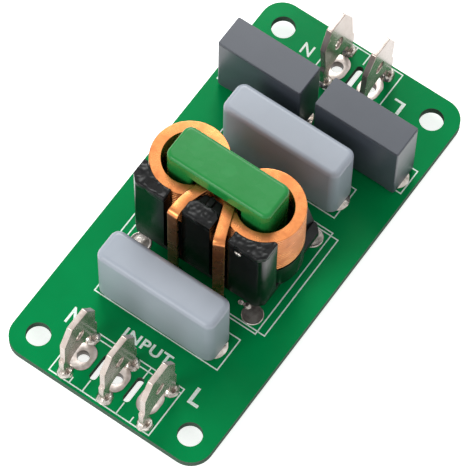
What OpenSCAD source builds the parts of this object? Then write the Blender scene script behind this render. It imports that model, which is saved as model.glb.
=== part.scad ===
// Single-phase mains EMI line filter on a small circuit board.
// Current path: three input tabs, an X capacitor, a flat-wire common-mode
// choke, a second X capacitor, two Y capacitors and two output tabs.
// X runs across the board, Y from the input end to the output end, Z up.
// Z = 0 is the plane of the trimmed lead tips that the board stands on.

/* [Board] */
// Length of the board, along Y
board_l = 60; // [60:1:80]
// Width of the board, along X
board_w = 30; // [30:1:44]
// Thickness of the board
board_t = 1.2; // [0.8:0.1:2.4]
// Radius of the board's corners
board_corner_r = 3; // [1:0.5:4]
// Diameter of the four mounting holes, for M3 screws
mount_hole_d = 3.2; // [2.4:0.1:3.6]
// From the board's edges to the centre of a mounting hole
mount_inset = 3.5; // [3:0.1:4]
// Length of the leads that stand proud of the board's underside
lead_tail = 1.6; // [1.4:0.1:3]
// Length of an isolation slot between two wire pads
slot_l = 3.8; // [2:0.1:6]
// Width of an isolation slot
slot_w = 1.0; // [0.6:0.1:1.4]

/* [Solder and plating] */
// Radius of the solder round a tab's leg or a winding's end
joint_r = 1.05; // [0.95:0.05:1.2]
// Height of the solder dome on the top of the board
joint_h = 0.9; // [0.5:0.1:1.2]
// Depth of the solder cone on the underside
joint_cone_h = 1.1; // [0.6:0.1:1.3]
// Radius of the solder round a capacitor's lead
cap_joint_r = 1.45; // [0.8:0.05:1.6]
// Height of the solder dome under a capacitor
cap_joint_h = 0.3; // [0.1:0.05:0.4]
// Thickness of the tinned copper of a wire pad
pad_t = 0.08; // [0.04:0.02:0.2]
// Wall of the plating and tin inside a wire hole
plating_wall = 0.15; // [0.15:0.05:0.3]
// Running gap between round solder or plating and its hole
fit_gap = 0.02; // [0.01:0.01:0.05]

/* [Wire pads] */
// Distance between neighbouring wire pads
wire_pitch = 5.08; // [4.6:0.02:5.6]
// Bore of a wire hole
wire_hole_d = 1.6; // [1:0.1:2]
// Size of a wire pad across the board
wire_pad_w = 3.0; // [2.6:0.1:3.4]
// Size of a wire pad along the board
wire_pad_l = 3.9; // [3.4:0.1:4.4]
// From the board's end to the centre of the wire pads
wire_pad_inset = 4.3; // [3.8:0.1:4.8]
// X of the middle of the input row of wire pads
input_pads_x = -0.12; // [-0.6:0.02:0.6]
// X of the middle of the output row of wire pads
output_pads_x = 0; // [-0.6:0.02:0.6]

/* [Quick-connect tabs] */
// Thickness of a tab's sheet
tab_t = 0.8; // [0.5:0.1:1]
// Width of a tab's blade
tab_w = 6.3; // [5:0.1:6.6]
// Height of a tab's tip above the board
tab_h = 10.2; // [8.4:0.1:12]
// Height of the tapered part at the tip
tab_taper_h = 2.5; // [1:0.1:3]
// Width that each side loses in the taper
tab_taper_w = 1.6; // [0.5:0.1:2]
// How far each shoulder stands out past the blade
tab_shoulder_w = 0.35; // [0.1:0.05:0.6]
// Height of the shoulders' lower side above the board
tab_shoulder_low = 2.0; // [1.4:0.1:2.4]
// Height of the shoulders' upper side above the board
tab_shoulder_top = 4.2; // [3.6:0.1:5]
// Distance between the middles of a tab's two legs
tab_leg_pitch = 5.5; // [5:0.1:6]
// Width of a tab's leg
tab_leg_w = 1.15; // [0.8:0.05:1.3]
// Height of the arch between the legs above the board
tab_arch_h = 3.2; // [2.6:0.1:3.6]
// Diameter of the latch hole in a blade
tab_hole_d = 1.6; // [1:0.1:2]
// Height of the latch hole above the board
tab_hole_z = 6.0; // [5.4:0.1:6.4]
// Distance between neighbouring tabs
tab_pitch = 6.0; // [5.4:0.1:6.6]
// X of the middle of each row of tabs
tab_row_x = 0.15; // [-0.4:0.05:0.4]
// From the board's end to the middle of a tab
tab_inset = 4.2; // [4:0.1:4.8]

/* [Capacitors] */
// Length of an X capacitor's case, along X
x_cap_l = 17.5; // [16.6:0.1:20]
// Depth of an X capacitor's case, along Y
x_cap_d = 4.8; // [4.4:0.1:6]
// Height of an X capacitor's case
x_cap_h = 10.6; // [8:0.1:14]
// From an X capacitor's end to the middle of the lead inside it
x_cap_lead_inset = 1.25; // [1.1:0.05:2]
// Radius of an X capacitor's upright edges
x_cap_edge_r = 1.2; // [0.9:0.1:1.8]
// Radius round an X capacitor's top
x_cap_top_r = 0.8; // [0.3:0.1:0.9]
// Length of a Y capacitor's case, along X
y_cap_l = 12.5; // [12:0.1:14]
// Depth of a Y capacitor's case, along Y
y_cap_d = 4.6; // [4.2:0.1:6]
// Height of a Y capacitor's case
y_cap_h = 11; // [8:0.1:13]
// From a Y capacitor's end to the middle of the lead inside it
y_cap_lead_inset = 1.25; // [1.1:0.05:2.5]
// Radius of a Y capacitor's upright edges
y_cap_edge_r = 0.3; // [0.2:0.1:0.8]
// X of the middle of the input X capacitor
x_in_x = -0.5; // [-0.6:0.1:0.6]
// X of the middle of the output X capacitor
x_out_x = 0.3; // [-0.6:0.1:0.6]
// X of the middle between the two Y capacitors
y_pair_x = -0.1; // [-0.6:0.1:0.6]
// Gap between the two Y capacitors
y_cap_gap = 2.2; // [1.5:0.1:3]
// Wall of a capacitor's case
case_wall = 0.6; // [0.4:0.05:0.8]
// Height of the small feet that a case stands on
case_foot_h = 0.45; // [0.45:0.05:0.8]
// How far the resin stays back from a case's rim
resin_recess = 0.4; // [0.2:0.1:1]
// Resin between a case's wall and the wound film
film_margin = 0.35; // [0.3:0.05:0.5]
// Diameter of a capacitor's leads
cap_lead_d = 0.7; // [0.5:0.05:0.8]
// Share of the board's spare length that lies before the first capacitor
input_side_share = 0.63; // [0.5:0.01:0.8]
// Space along Y between the choke's joints and an X capacitor
choke_row_gap = 1.9; // [1:0.1:2.5]
// Space along Y between the second X capacitor and the Y capacitors
cap_row_gap = 2.2; // [1:0.1:3]

/* [Choke core] */
// X of the choke's middle
choke_x = 0; // [-0.6:0.1:0.6]
// Width of a core leg, along X
core_leg_w = 4.1; // [3:0.1:4.6]
// Depth of the core, along Y
core_d = 5.3; // [4:0.1:5.6]
// Height of each yoke
core_yoke_h = 2.5; // [1.5:0.1:3.5]
// Radius of the core's coated edges
core_edge_r = 0.7; // [0.3:0.1:1]
// Free height in the window under the coils
window_clear = 1.5; // [1:0.1:2.5]

/* [Choke windings] */
// Width of the flat wire, which lies along the coil's radius
wire_w = 1.5; // [1:0.05:1.6]
// Thickness of the flat wire
wire_t = 0.42; // [0.3:0.02:0.44]
// Rise of one turn
turn_pitch = 0.5; // [0.46:0.02:0.6]
// Whole turns in a coil
turns = 16; // [10:1:18]
// Space between a leg's corners and the coil round it
coil_clear = 0.45; // [0.2:0.05:0.7]
// Gap between the two coils
coil_gap = 1.2; // [0.8:0.1:2]
// Angle past the inner side at which a coil's end runs off
run_off_angle = 24; // [16:1:30]
// Inside radius of the bend where an end turns down
lead_bend_r = 0.35; // [0.2:0.05:0.6]
// How far inside its hole the lower end of a coil turns down
low_lead_lean = 0.7; // [0.3:0.1:0.9]

/* [Choke base] */
// Height of the base's plate above the board
base_lift = 3.3; // [2:0.1:4]
// Thickness of the base's plate
base_t = 1.0; // [0.8:0.1:2.4]
// Width of the middle post
mid_post_w = 4.1; // [3.4:0.1:4.2]
// Gap between the middle post and an outer one, for a coil's end
post_gap = 2.7; // [2.4:0.1:3]
// Depth of the middle post
mid_post_d = 2.4; // [1.6:0.1:2.6]
// Front face of the posts, measured out from the coils
post_front = 1.7; // [1.6:0.1:2.6]
// How far the outer posts stay inside the coils' outer sides
post_side_inset = 0.8; // [0.2:0.1:1]
// How far the front posts rise past the coils' top
post_rise = 0.3; // [0:0.1:1]
// Height of the posts at the rear, above the plate
rear_post_h = 3.5; // [3:0.5:8]
// How far a rear post's foot stays inside the base's chamfer
rear_post_inset = 0.2; // [0.1:0.1:1]
// Chamfer on the outer corners of the base
base_chamfer = 0.9; // [0.3:0.1:1.2]
// Diameter of the feet under the plate
base_foot_d = 2.2; // [1.4:0.1:3]
// Gap between the base and the coils or the core
seat_gap = 0.1; // [0.05:0.05:0.2]

/* [Hidden] */
$fn = 48;
eps = 0.01;

// Levels
board_z = lead_tail;
top_z = board_z + board_t;

// Choke, measured from its own middle and from the top of the board
core_corner_reach = norm([core_leg_w / 2 - core_edge_r, core_d / 2 - core_edge_r]) + core_edge_r;
coil_in_r = core_corner_reach + coil_clear;
coil_out_r = coil_in_r + wire_w;
coil_mid_r = (coil_in_r + coil_out_r) / 2;
coil_x = coil_out_r + coil_gap / 2;
coil_h = (turns + run_off_angle / 180) * turn_pitch + wire_t;
core_w = 2 * coil_x + core_leg_w;
core_z = base_lift + base_t;
coil_z = core_z + core_yoke_h + window_clear;
coil_top = coil_z + coil_h;
core_top = coil_top + seat_gap + core_yoke_h;
base_half_w = coil_x + coil_out_r - post_side_inset;
base_half_d = coil_out_r + post_front;
lead_y = base_half_d + seat_gap + lead_bend_r + wire_t / 2;
lead_end_x = [mid_post_w / 2 + seat_gap + wire_w / 2, mid_post_w / 2 + post_gap - seat_gap - wire_w / 2];
choke_half_d = lead_y + joint_r;
post_top = coil_top + post_rise;
spare_pad_x = base_half_w - 1.3;
spare_pad_y = base_half_d - 0.2;
spare_pad_r = 1.5;
spare_hole_r = 0.6;

// Capacitors' lead pitches
x_cap_pitch = x_cap_l - 2 * x_cap_lead_inset;
y_cap_pitch = y_cap_l - 2 * y_cap_lead_inset;

// Rows along the board; the spare length lies between the tabs' joints and the rows
row_front = choke_half_d + choke_row_gap + x_cap_d;
row_rear = row_front + cap_row_gap + y_cap_d;
row_room = board_l / 2 - tab_inset - tab_leg_pitch / 2 - joint_r;
spare_length = 2 * row_room - row_front - row_rear;
choke_y = row_front - row_room + spare_length * input_side_share;
x_in_y = choke_y - choke_half_d - choke_row_gap - x_cap_d / 2;
x_out_y = choke_y + choke_half_d + choke_row_gap + x_cap_d / 2;
y_cap_y = x_out_y + x_cap_d / 2 + cap_row_gap + y_cap_d / 2;
y_neutral_x = y_pair_x - (y_cap_l + y_cap_gap) / 2;
y_live_x = y_pair_x + (y_cap_l + y_cap_gap) / 2;
tab_y = board_l / 2 - tab_inset;
pads_y = board_l / 2 - wire_pad_inset;
mount_x = board_w / 2 - mount_inset;
mount_y = board_l / 2 - mount_inset;

// Tabs and wire pads: X of each, from neutral to live
input_tab_x = [for (i = [-1:1]) tab_row_x + i * tab_pitch];
output_tab_x = [for (i = [-1:2:1]) tab_row_x + i * tab_pitch / 2];
input_pad_x = [for (i = [-1:1]) input_pads_x + i * wire_pitch];
output_pad_x = [for (i = [-1:2:1]) output_pads_x + i * wire_pitch / 2];
slot_places = [
    [input_pads_x - wire_pitch / 2, -pads_y],
    [input_pads_x + wire_pitch / 2, -pads_y],
    [output_pads_x, pads_y]
];

// Places of the soldered leads, by what they belong to
input_leg_places = [for (x = input_tab_x, s = [-1, 1]) [x, -tab_y + s * tab_leg_pitch / 2]];
output_leg_places = [for (x = output_tab_x, s = [-1, 1]) [x, tab_y + s * tab_leg_pitch / 2]];
x_in_leads = [for (s = [-1, 1]) [x_in_x + s * x_cap_pitch / 2, x_in_y]];
x_out_leads = [for (s = [-1, 1]) [x_out_x + s * x_cap_pitch / 2, x_out_y]];
y_neutral_leads = [for (s = [-1, 1]) [y_neutral_x + s * y_cap_pitch / 2, y_cap_y]];
y_live_leads = [for (s = [-1, 1]) [y_live_x + s * y_cap_pitch / 2, y_cap_y]];
cap_leads = concat(x_in_leads, x_out_leads, y_neutral_leads, y_live_leads);
choke_leads = [for (side = [0, 1], s = [-1, 1])
    [choke_x + (2 * side - 1) * lead_end_x[side], choke_y + s * lead_y]];
spare_places = [for (x = [-1, 1], y = [-1, 1])
    [choke_x + x * spare_pad_x, choke_y + y * spare_pad_y]];

tab_hole_r = norm([tab_t, tab_leg_w]) / 2 + 0.1;
choke_hole_r = norm([wire_t, wire_w]) / 2 + 0.1;
cap_hole_r = cap_lead_d / 2 + 0.15;

// Finishes
MASK_GREEN = "#0a7a45";
TIN = "#d6cfc4";
SOLDER = "#b9b8b4";
CASE_GREY = "#a3adb8";
CASE_DARK = "#6b6f78";
RESIN = "#3b3d42";
FILM = "#b9b39c";
FERRITE_GREEN = "#4a9c5c";
COPPER = "#d98b4f";
BASE_BLACK = "#16181a";

// ---------- Shared shapes ----------

function reversed(v) = [for (i = [len(v) - 1:-1:0]) v[i]];

module rounded_rect(size, r) {
    x = size[0] / 2 - r;
    y = size[1] / 2 - r;
    square([size[0], 2 * y], center = true);
    square([2 * x, size[1]], center = true);
    for (sx = [-1, 1], sy = [-1, 1]) translate([sx * x, sy * y]) circle(r);
}

module slot_2d(l, w) {
    square([w, l - w], center = true);
    for (s = [-1, 1]) translate([0, s * (l - w) / 2]) circle(w / 2);
}

// A flat-bottomed profile, w wide and h high, whose two top corners are rounded
module dome_profile(w, h, r) {
    translate([-w / 2, 0]) square([w, h - r]);
    translate([-w / 2 + r, 0]) square([w - 2 * r, h]);
    for (s = [-1, 1]) translate([s * (w / 2 - r), h - r]) circle(r);
}

// A box standing on Z = 0, with rounded upright edges and a rounded top
module moulded_box(size, edge_r, top_r) {
    x = size[0] / 2 - edge_r;
    y = size[1] / 2 - edge_r;
    rotate([90, 0, 90]) linear_extrude(2 * x, center = true) dome_profile(size[1], size[2], top_r);
    rotate([90, 0, 0]) linear_extrude(2 * y, center = true) dome_profile(size[0], size[2], top_r);
    for (sx = [-1, 1], sy = [-1, 1]) translate([sx * x, sy * y])
        rotate_extrude() intersection() {
            dome_profile(2 * edge_r, size[2], top_r);
            translate([0, -eps]) square([edge_r + eps, size[2] + 2 * eps]);
        }
}

// A domed cap of radius r, almost h high, with a small flat at its crown
module solder_dome(r, h) {
    rotate_extrude() polygon(concat(
        [[0, 0]], [for (a = [0:14:84]) [r * cos(a), h * sin(a)]], [[0, h * sin(84)]]));
}

// One soldered hole: dome on top, filled barrel and cone below
module joint(r, h, hole_r, cone_r, tip_r) {
    translate([0, 0, top_z]) solder_dome(r, h);
    translate([0, 0, board_z - eps]) cylinder(r = hole_r - fit_gap, h = board_t + 2 * eps);
    translate([0, 0, board_z - joint_cone_h]) cylinder(r1 = tip_r, r2 = cone_r, h = joint_cone_h);
}

// ---------- Board ----------

module circuit_board() {
    color(MASK_GREEN) translate([0, 0, board_z]) difference() {
        linear_extrude(board_t) rounded_rect([board_w, board_l], board_corner_r);
        translate([0, 0, -1]) {
            for (x = [-1, 1], y = [-1, 1]) translate([x * mount_x, y * mount_y])
                cylinder(d = mount_hole_d, h = board_t + 2);
            for (p = slot_places) translate(p) linear_extrude(board_t + 2) slot_2d(slot_l, slot_w);
            for (p = wire_pad_places()) translate(p)
                cylinder(r = wire_hole_d / 2 + plating_wall + fit_gap, h = board_t + 2);
            for (p = concat(input_leg_places, output_leg_places)) translate(p)
                cylinder(r = tab_hole_r, h = board_t + 2);
            for (p = cap_leads) translate(p) cylinder(r = cap_hole_r, h = board_t + 2);
            for (p = choke_leads) translate(p) cylinder(r = choke_hole_r, h = board_t + 2);
            for (p = spare_places) translate(p) cylinder(r = spare_hole_r + fit_gap, h = board_t + 2);
        }
    }
}

function wire_pad_places() = concat(
    [for (x = input_pad_x) [x, -pads_y]],
    [for (x = output_pad_x) [x, pads_y]]);

// A plated hole: an oval land on each face, joined by the plating of the bore
module wire_pads(places, legs) {
    color(TIN) difference() {
        for (p = places) translate(p) {
            for (z = [board_z - pad_t, top_z]) translate([0, 0, z])
                linear_extrude(pad_t) slot_2d(wire_pad_l, wire_pad_w);
            translate([0, 0, board_z - eps])
                cylinder(r = wire_hole_d / 2 + plating_wall, h = board_t + 2 * eps);
        }
        for (p = places) translate([p[0], p[1], board_z - 1]) cylinder(d = wire_hole_d, h = board_t + 2);
        for (p = legs) translate([p[0], p[1], board_z - 1]) cylinder(r = joint_r + fit_gap, h = board_t + 2);
    }
}

module input_wire_pads() {
    wire_pads([for (x = input_pad_x) [x, -pads_y]], input_leg_places);
}

module output_wire_pads() {
    wire_pads([for (x = output_pad_x) [x, pads_y]], output_leg_places);
}

// ---------- Tabs ----------

// Outline of one half of a tab, from beside the arch's top out to the tip
function tab_half_outline() =
    let (leg_in = (tab_leg_pitch - tab_leg_w) / 2,
         leg_out = (tab_leg_pitch + tab_leg_w) / 2,
         side = tab_w / 2,
         wide = side + tab_shoulder_w,
         foot = -top_z,
         point = tab_leg_w / 4,
         point_h = lead_tail / 3)
    [for (a = [15:15:75]) [leg_in * sin(a), tab_arch_h - leg_in / 2 * (1 - cos(a))],
     [leg_in, tab_arch_h - leg_in / 2],
     [leg_in, foot + point_h],
     [leg_in + point, foot],
     [leg_out - point, foot],
     [leg_out, foot + point_h],
     [leg_out, tab_shoulder_low - (wide - leg_out)],
     [wide, tab_shoulder_low],
     [wide, tab_shoulder_top - tab_shoulder_w],
     [side, tab_shoulder_top],
     [side, tab_h - tab_taper_h],
     [side - tab_taper_w, tab_h]];

module tab(x, y) {
    color(TIN) translate([x, y, top_z]) rotate([90, 0, 90])
        linear_extrude(tab_t, center = true) difference() {
            polygon(concat(tab_half_outline(), [for (p = reversed(tab_half_outline())) [-p[0], p[1]]]));
            translate([0, tab_hole_z]) circle(d = tab_hole_d);
        }
}

module input_tab_neutral() tab(input_tab_x[0], -tab_y);
module input_tab_earth() tab(input_tab_x[1], -tab_y);
module input_tab_live() tab(input_tab_x[2], -tab_y);
module output_tab_neutral() tab(output_tab_x[0], tab_y);
module output_tab_live() tab(output_tab_x[1], tab_y);

module tab_solder(places, tabs_x, y) {
    color(SOLDER) difference() {
        for (p = places) translate(p) joint(joint_r, joint_h, tab_hole_r, joint_r, tab_hole_r);
        for (x = tabs_x) tab(x, y);
    }
}

module input_tab_solder() tab_solder(input_leg_places, input_tab_x, -tab_y);
module output_tab_solder() tab_solder(output_leg_places, output_tab_x, tab_y);

// ---------- Capacitors ----------

// Box of a capacitor: [length, depth, height, lead pitch, edge radius, top radius]
x_cap = [x_cap_l, x_cap_d, x_cap_h, x_cap_pitch, x_cap_edge_r, x_cap_top_r];
y_cap = [y_cap_l, y_cap_d, y_cap_h, y_cap_pitch, y_cap_edge_r, 0.15];

function cap_inside(c) = [c[0] - 2 * case_wall, c[1] - 2 * case_wall];
function cap_roof(c) = top_z + c[2] - case_wall;
function film_bottom(c) = top_z + case_foot_h + resin_recess + 2 * film_margin;
function film_h(c) = cap_roof(c) - film_margin - film_bottom(c);

module cap_cavity(c, z0, z1) {
    translate([0, 0, z0]) linear_extrude(z1 - z0) square(cap_inside(c), center = true);
}

// Open-bottomed case on four small feet
module cap_case(c, x, y, finish) {
    foot = case_wall;
    color(finish) translate([x, y, 0]) {
        difference() {
            translate([0, 0, top_z + case_foot_h])
                moulded_box([c[0], c[1], c[2] - case_foot_h], c[4], c[5]);
            cap_cavity(c, top_z, cap_roof(c));
        }
        for (sx = [-1, 1], sy = [-1, 1])
            translate([sx * (c[0] / 2 - c[4] - foot), sy * (c[1] - foot) / 2, top_z + (case_foot_h + eps) / 2])
                cube([2 * foot, foot, case_foot_h + eps], center = true);
    }
}

// Wound film, flattened to a block with rounded long sides
module cap_film(c, x, y) {
    size = [cap_inside(c)[1] - 2 * film_margin, film_h(c)];
    color(FILM) translate([x, y, film_bottom(c) + size[1] / 2])
        rotate([90, 0, 90]) linear_extrude(c[3] - cap_lead_d, center = true)
            slot_2d(size[1], size[0]);
}

// Two round leads, each against one end of the wound film
module cap_leads_pair(c, places) {
    color(TIN) for (p = places) translate([p[0], p[1], 0])
        cylinder(d = cap_lead_d, h = film_bottom(c) + film_h(c) * 0.7);
}

module cap_resin(c, x, y, places) {
    color(RESIN) difference() {
        translate([x, y, 0]) cap_cavity(c, top_z + case_foot_h + resin_recess, cap_roof(c));
        cap_film(c, x, y);
        cap_leads_pair(c, places);
    }
}

module input_capacitor_case() cap_case(x_cap, x_in_x, x_in_y, CASE_GREY);
module input_capacitor_resin() cap_resin(x_cap, x_in_x, x_in_y, x_in_leads);
module input_capacitor_film() cap_film(x_cap, x_in_x, x_in_y);
module input_capacitor_leads() cap_leads_pair(x_cap, x_in_leads);
module output_capacitor_case() cap_case(x_cap, x_out_x, x_out_y, CASE_GREY);
module output_capacitor_resin() cap_resin(x_cap, x_out_x, x_out_y, x_out_leads);
module output_capacitor_film() cap_film(x_cap, x_out_x, x_out_y);
module output_capacitor_leads() cap_leads_pair(x_cap, x_out_leads);
module neutral_y_capacitor_case() cap_case(y_cap, y_neutral_x, y_cap_y, CASE_DARK);
module neutral_y_capacitor_resin() cap_resin(y_cap, y_neutral_x, y_cap_y, y_neutral_leads);
module neutral_y_capacitor_film() cap_film(y_cap, y_neutral_x, y_cap_y);
module neutral_y_capacitor_leads() cap_leads_pair(y_cap, y_neutral_leads);
module live_y_capacitor_case() cap_case(y_cap, y_live_x, y_cap_y, CASE_DARK);
module live_y_capacitor_resin() cap_resin(y_cap, y_live_x, y_cap_y, y_live_leads);
module live_y_capacitor_film() cap_film(y_cap, y_live_x, y_cap_y);
module live_y_capacitor_leads() cap_leads_pair(y_cap, y_live_leads);

module capacitor_solder() {
    color(SOLDER) difference() {
        for (p = cap_leads) translate(p)
            joint(cap_joint_r, cap_joint_h, cap_hole_r, joint_r, cap_lead_d / 2 + 0.1);
        for (p = cap_leads) translate(p) cylinder(d = cap_lead_d, h = top_z + joint_h + 1);
    }
}

// ---------- Choke ----------

// The frame of the choke: its middle, on the top of the board
module at_choke() translate([choke_x, choke_y, top_z]) children();

// Closed rectangular ferrite ring with a rounded coat, grown by g on every side
module core_yoke(z, g) {
    size = [core_w + 2 * g, core_d + 2 * g, core_yoke_h + 2 * g];
    r = core_edge_r;
    translate([0, 0, z - g]) intersection() {
        linear_extrude(size[2]) rounded_rect([size[0], size[1]], r);
        translate([0, 0, size[2] / 2]) rotate([90, 0, 0])
            linear_extrude(size[1] + 1, center = true) rounded_rect([size[0], size[2]], r);
        translate([0, 0, size[2] / 2]) rotate([90, 0, 90])
            linear_extrude(size[0] + 1, center = true) rounded_rect([size[1], size[2]], r * 0.7);
    }
}

module core_shape(g = 0) {
    core_yoke(core_z, g);
    core_yoke(core_top - core_yoke_h, g);
    for (s = [-1, 1]) translate([s * coil_x, 0, core_z + core_yoke_h / 2])
        linear_extrude(core_top - core_z - core_yoke_h)
            rounded_rect([core_leg_w + 2 * g, core_d + 2 * g], core_edge_r);
}

module choke_core() {
    color(FERRITE_GREEN) at_choke() core_shape();
}

// --- Flat-wire coil, seen from above: it climbs anticlockwise round X = coil_x,
// and each end runs off past the inner side, turns down and enters the board.

steps_per_turn = 24;
bend_steps = 4;

// Angle round the coil's axis where the climb starts and ends
helix_start = 180 - run_off_angle;
helix_sweep = 360 * turns + 2 * run_off_angle;
helix_steps = ceil(helix_sweep / 360 * steps_per_turn);

// A section is [middle, half-width vector, half-thickness vector]
function helix_section(i) =
    let (a = helix_start + helix_sweep * i / helix_steps,
         z = coil_z + wire_t / 2 + (coil_h - wire_t) * i / helix_steps,
         out = [cos(a), sin(a), 0])
    [[coil_x, 0, z] + coil_mid_r * out, wire_w / 2 * out, [0, 0, wire_t / 2]];

// The straight run from the coil's last point, by way of the gap between the
// posts, to where the wire turns down. s is -1 at the front and 1 at the rear.
function run_points(s, z, x_end) =
    let (a = 180 - s * run_off_angle,
         start = [coil_x + coil_mid_r * cos(a), coil_mid_r * sin(a), z],
         gate = [x_end - 0.1, s * (coil_out_r - wire_t), z],
         lean = s > 0 ? low_lead_lean : 0,
         turn = [x_end, s * (lead_y - lean - lead_bend_r - wire_t / 2), z])
    [start, gate, turn];

// Half-width vector across the direction d, in the plane of the board
function across(d, s) = wire_w / 2 * [-s * d[1], s * d[0], 0] / norm(d);

function run_sections(s, z, x_end) =
    let (p = run_points(s, z, x_end),
         d1 = p[1] - p[0],
         d2 = p[2] - p[1],
         mid = d1 / norm(d1) + d2 / norm(d2),
         r = lead_bend_r + wire_t / 2,
         w = wire_w / 2 * [-1, 0, 0])
    concat(
        [[p[1], across(mid, s), [0, 0, wire_t / 2]]],
        [for (i = [0:bend_steps])
            let (b = 90 * i / bend_steps)
            [[p[2][0], p[2][1] + s * r * sin(b), z - r * (1 - cos(b))],
             w, wire_t / 2 * [0, s * sin(b), cos(b)]]],
        [for (level = [core_z + wire_t, -top_z])
            [[p[2][0], s * lead_y, level], w, wire_t / 2 * [0, s, 0]]]);

function coil_sections(x_end) =
    let (low = coil_z + wire_t / 2, high = coil_top - wire_t / 2)
    concat(
        reversed(run_sections(1, low, x_end)),
        [for (i = [0:helix_steps]) helix_section(i)],
        run_sections(-1, high, x_end));

// A strip with four corners at each section, closed at both ends
module ribbon(sections) {
    n = len(sections);
    points = [for (c = sections) each [
        c[0] + c[1] + c[2], c[0] + c[1] - c[2],
        c[0] - c[1] - c[2], c[0] - c[1] + c[2]]];
    faces = concat(
        [[3, 2, 1, 0]],
        [for (i = [0:n - 2], k = [0:3])
            let (a = 4 * i + k, b = 4 * i + (k + 1) % 4)
            each [[a, b, b + 4], [a, b + 4, a + 4]]],
        [[4 * n - 4, 4 * n - 3, 4 * n - 2, 4 * n - 1]]);
    polyhedron(points, faces, convexity = 10);
}

module choke_winding_live() {
    color(COPPER) at_choke() ribbon(coil_sections(lead_end_x[1]));
}

module choke_winding_neutral() {
    color(COPPER) at_choke() mirror([1, 0, 0]) ribbon(coil_sections(lead_end_x[0]));
}

// --- Moulded base

// Outline of the base in plan: a rectangle with its corners cut off
module base_plan() {
    x = base_half_w;
    y = base_half_d;
    c = base_chamfer;
    polygon([[x - c, -y], [x, c - y], [x, y - c], [x - c, y], [c - x, y], [-x, y - c], [-x, c - y], [c - x, -y]]);
}

// Plan of the right outer post before the base's outline trims it
module outer_post_plan() {
    x0 = mid_post_w / 2 + post_gap;
    y0 = -base_half_d - 1;
    translate([x0, y0]) square([base_half_w + 1 - x0, -coil_out_r * 0.7 - y0]);
}

module mid_post_plan() {
    y0 = -base_half_d - 1;
    y1 = -base_half_d + mid_post_d;
    w = mid_post_w / 2;
    c = mid_post_w / 6;
    polygon([[-w, y0], [w, y0], [w, y1 - c], [w - c, y1], [-w + c, y1], [-w, y1 - c]]);
}

// Upright outline of the right rear post, which leans in towards its top
module rear_post_side() {
    x0 = mid_post_w / 2 + post_gap;
    foot = base_t / 2;
    polygon([
        [x0, -foot], [base_half_w - base_chamfer - rear_post_inset, -foot],
        [(x0 + base_half_w) / 2, rear_post_h], [x0, rear_post_h]]);
}

module base_posts() {
    translate([0, 0, base_lift]) linear_extrude(post_top - base_lift) {
        mid_post_plan();
        for (m = [0, 1]) mirror([m, 0]) outer_post_plan();
    }
    translate([0, 0, base_lift]) linear_extrude(base_t + rear_post_h) mirror([0, 1]) mid_post_plan();
    for (m = [0, 1]) mirror([m, 0]) intersection() {
        translate([0, 0, core_z]) rotate([90, 0, 0])
            linear_extrude(4 * base_half_d, center = true) rear_post_side();
        translate([0, 0, base_lift]) linear_extrude(post_top) mirror([0, 1]) outer_post_plan();
    }
}

// Ribs that part the coils, between the middle posts and the core
module coil_ribs() {
    t = coil_gap - 4 * seat_gap;
    y0 = core_d / 2 + 2 * seat_gap;
    y1 = base_half_d - mid_post_d / 2;
    translate([-t / 2, -y1, base_lift]) cube([t, y1 - y0, coil_top - seat_gap - base_lift]);
    translate([-t / 2, y0, base_lift]) cube([t, y1 - y0, base_t + rear_post_h]);
}

module choke_base() {
    foot_y = core_d / 2 + base_foot_d / 2;
    color(BASE_BLACK) at_choke() difference() {
        union() {
            intersection() {
                union() {
                    translate([-core_w, -core_w, base_lift]) cube([2 * core_w, 2 * core_w, base_t]);
                    base_posts();
                    coil_ribs();
                }
                linear_extrude(core_top) base_plan();
            }
            for (s = [-1, 1]) translate([s * coil_x, 0, base_lift + base_t / 2])
                cylinder(r = coil_out_r, h = coil_z - seat_gap - base_lift - base_t / 2);
            for (sx = [-1, 1], sy = [-1, 1]) translate([sx * coil_x, sy * foot_y, 0])
                cylinder(d = base_foot_d, h = base_lift + base_t / 2);
        }
        for (s = [-1, 1]) translate([s * coil_x, 0, coil_z - seat_gap])
            cylinder(r = coil_out_r + seat_gap, h = coil_h + post_rise + 2);
        core_pocket();
    }
}

// Room for the lower yoke and the legs in the coil seats
module core_pocket() {
    g = seat_gap;
    translate([0, 0, core_z + core_yoke_h / 2 + g])
        cube([core_w + 2 * g, core_d + 2 * g, core_yoke_h + 2 * g], center = true);
    for (s = [-1, 1]) translate([s * coil_x, 0, core_z + core_yoke_h])
        linear_extrude(coil_z) square([core_leg_w + 2 * g, core_d + 2 * g], center = true);
}

module choke_solder() {
    color(SOLDER) difference() {
        for (p = choke_leads) translate(p) joint(joint_r, joint_h, choke_hole_r, joint_r, choke_hole_r);
        for (p = choke_leads) translate([p[0], p[1], top_z]) cube([wire_w, wire_t, 4 * top_z], center = true);
    }
}

// Holes of a second footprint, closed with solder and left empty
module spare_choke_pads() {
    color(SOLDER) for (p = spare_places) translate(p) {
        for (m = [0, 1]) translate([0, 0, m == 0 ? top_z : board_z]) mirror([0, 0, m])
            solder_dome(spare_pad_r, cap_joint_h);
        translate([0, 0, board_z - eps]) cylinder(r = spare_hole_r, h = board_t + 2 * eps);
    }
}

circuit_board();
input_wire_pads();
output_wire_pads();
input_tab_neutral();
input_tab_earth();
input_tab_live();
output_tab_neutral();
output_tab_live();
input_tab_solder();
output_tab_solder();
input_capacitor_case();
input_capacitor_resin();
input_capacitor_film();
input_capacitor_leads();
output_capacitor_case();
output_capacitor_resin();
output_capacitor_film();
output_capacitor_leads();
neutral_y_capacitor_case();
neutral_y_capacitor_resin();
neutral_y_capacitor_film();
neutral_y_capacitor_leads();
live_y_capacitor_case();
live_y_capacitor_resin();
live_y_capacitor_film();
live_y_capacitor_leads();
capacitor_solder();
choke_base();
choke_core();
choke_winding_neutral();
choke_winding_live();
choke_solder();
spare_choke_pads();
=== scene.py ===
import math

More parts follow.
